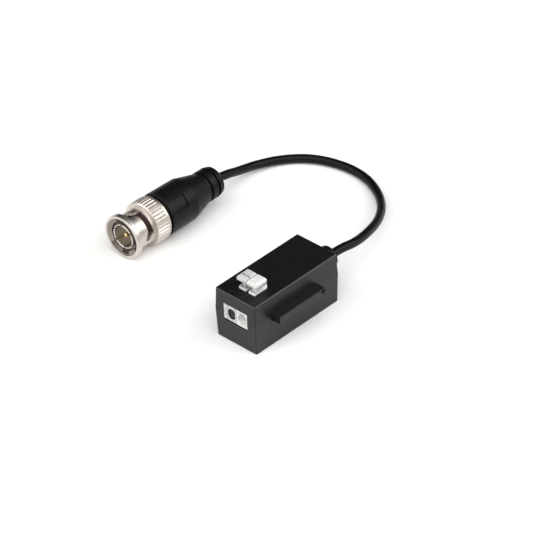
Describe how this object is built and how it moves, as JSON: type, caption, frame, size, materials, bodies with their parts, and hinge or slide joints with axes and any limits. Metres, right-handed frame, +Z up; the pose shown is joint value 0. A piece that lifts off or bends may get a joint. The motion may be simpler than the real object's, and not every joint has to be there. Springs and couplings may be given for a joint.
{
  "type": "video balun",
  "caption": "Small black housing with a push-lever wire terminal at one end and, at the other, a short pigtail cord that ends in a twist-lock coaxial plug.",
  "frame": {"origin": "centre of the housing's flat base face, on the surface it lies on", "axes": "+Y along the housing from the wire terminal to the cord, +X to the right seen from the terminal end, +Z up out of the lid"},
  "size_m": [0.0743, 0.0873, 0.0211],
  "materials": {
    "case_plastic": "black moulded plastic with a fine satin grain",
    "board_laminate": "green solder-masked glass laminate",
    "grey_plastic": "light grey moulded plastic, satin",
    "white_plastic": "white moulded plastic, satin",
    "tinned_brass": "tinned brass strip",
    "spring_steel": "bright spring steel",
    "ferrite": "dull dark grey ferrite",
    "enamelled_wire": "clear enamelled copper",
    "component_body": "black moulded epoxy",
    "resistor_body": "pale blue lacquer",
    "cord_jacket": "black flexible jacket, satin",
    "boot_plastic": "black moulded boot, satin",
    "nickel_plate": "bright nickel plate on turned brass",
    "insulator_plastic": "white waxy insulator",
    "gold_plate": "gold plate",
    "seal_rubber": "dark red silicone seal"
  },
  "bodies": {
    "balun": {"housing_base": "case_plastic", "housing_top": "case_plastic", "circuit_board": "board_laminate", "terminal_body_grey": "grey_plastic", "contact_grey": "tinned_brass", "clamp_spring_grey": "spring_steel", "terminal_body_white": "white_plastic", "contact_white": "tinned_brass", "clamp_spring_white": "spring_steel", "balun_core": "ferrite", "balun_winding": "enamelled_wire", "surge_suppressor": "component_body", "matching_resistor": "resistor_body", "cable_gland": "cord_jacket", "core_lead": "white_plastic", "shield_lead": "cord_jacket", "pigtail_cord": "cord_jacket", "plug_boot": "boot_plastic", "crimp_ferrule": "nickel_plate", "plug_body": "nickel_plate", "outer_contact": "nickel_plate", "insulator": "insulator_plastic", "centre_pin": "gold_plate", "seal": "seal_rubber", "wave_spring": "spring_steel"},
    "grey_lever": {"lever_grey": "grey_plastic"},
    "white_lever": {"lever_white": "white_plastic"},
    "ring_slide": {"thrust_washer": "nickel_plate"},
    "ring": {"coupling_ring": "nickel_plate", "retaining_ring": "spring_steel"}
  },
  "joints": [
    {"name": "grey_lever_press", "type": "slide", "parent": "balun", "child": "grey_lever", "axis": [0, 0, -1], "range_m": [0, 0.001], "stiffness_N_per_m": 2000, "springref_m": -0.0005, "deforming": ["clamp_spring_grey"]},
    {"name": "white_lever_press", "type": "slide", "parent": "balun", "child": "white_lever", "axis": [0, 0, -1], "range_m": [0, 0.001], "stiffness_N_per_m": 2000, "springref_m": -0.0005, "deforming": ["clamp_spring_white"]},
    {"name": "ring_push", "type": "slide", "parent": "balun", "child": "ring_slide", "axis": [0, -1, 0], "range_m": [0, 0.0008], "stiffness_N_per_m": 3000, "springref_m": -0.0005, "deforming": ["wave_spring"]},
    {"name": "ring_turn", "type": "hinge", "parent": "ring_slide", "child": "ring", "pos_m": [-0.0554, 0, 0.0073], "axis": [0, -1, 0], "continuous": true}
  ]
}
